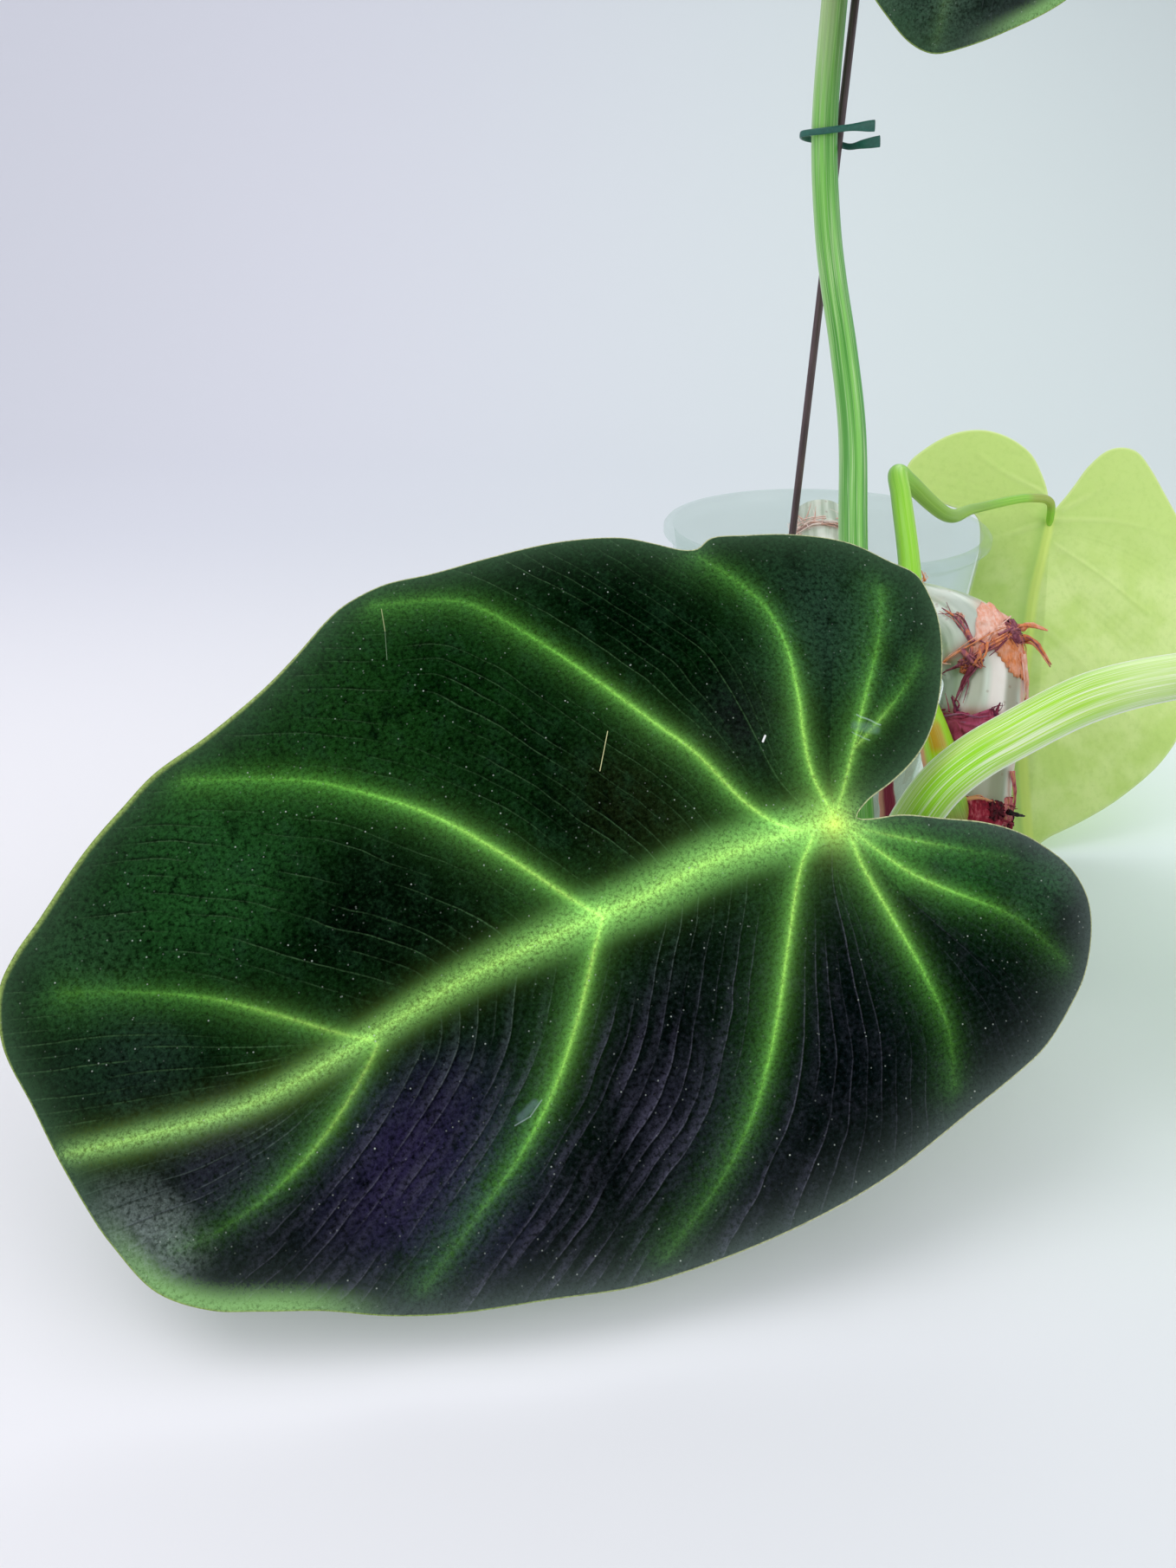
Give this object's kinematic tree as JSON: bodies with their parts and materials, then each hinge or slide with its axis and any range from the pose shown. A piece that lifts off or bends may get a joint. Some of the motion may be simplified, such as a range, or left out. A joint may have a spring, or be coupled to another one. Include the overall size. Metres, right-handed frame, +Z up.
{
  "type": "potted philodendron luxurians",
  "caption": "Creeping velvet-leaved aroid in a clear tapered pot, its stem hanging over the front through a notch, with heart-shaped leaves on long petioles",
  "frame": {"origin": "middle of the pot's flat underside", "axes": "+Z up, -Y towards the viewer in front of the plant, +X to the right seen from there"},
  "size_m": [0.4535, 0.3241, 0.4512],
  "materials": {
    "clear_plastic": "clear, smooth",
    "grit": "pale rough grains",
    "stem": "green-grey skin, satin",
    "stake": "satin",
    "dark_blade": "velvety dark green with pale veins",
    "pale_blade": "soft satin",
    "petiole": "striped, satin",
    "old_fibre": "dry, matt",
    "red_fibre": "dry, matt",
    "cataphyll": "dry, matt",
    "tie": "satin"
  },
  "bodies": {
    "root": {"pot": "clear_plastic", "grit": "grit", "stem": "stem", "stake": "stake", "blade_front": "dark_blade", "blade_right": "dark_blade", "blade_high": "dark_blade", "blade_pale": "pale_blade", "petiole_front": "petiole", "petiole_right": "petiole", "petiole_high": "petiole", "petiole_pale": "petiole", "fibres_stump": "old_fibre", "fibres_arch": "old_fibre", "fibres_upper": "red_fibre", "fibres_lower": "red_fibre", "cataphyll": "cataphyll", "twist_tie": "tie"}
  },
  "joints": []
}
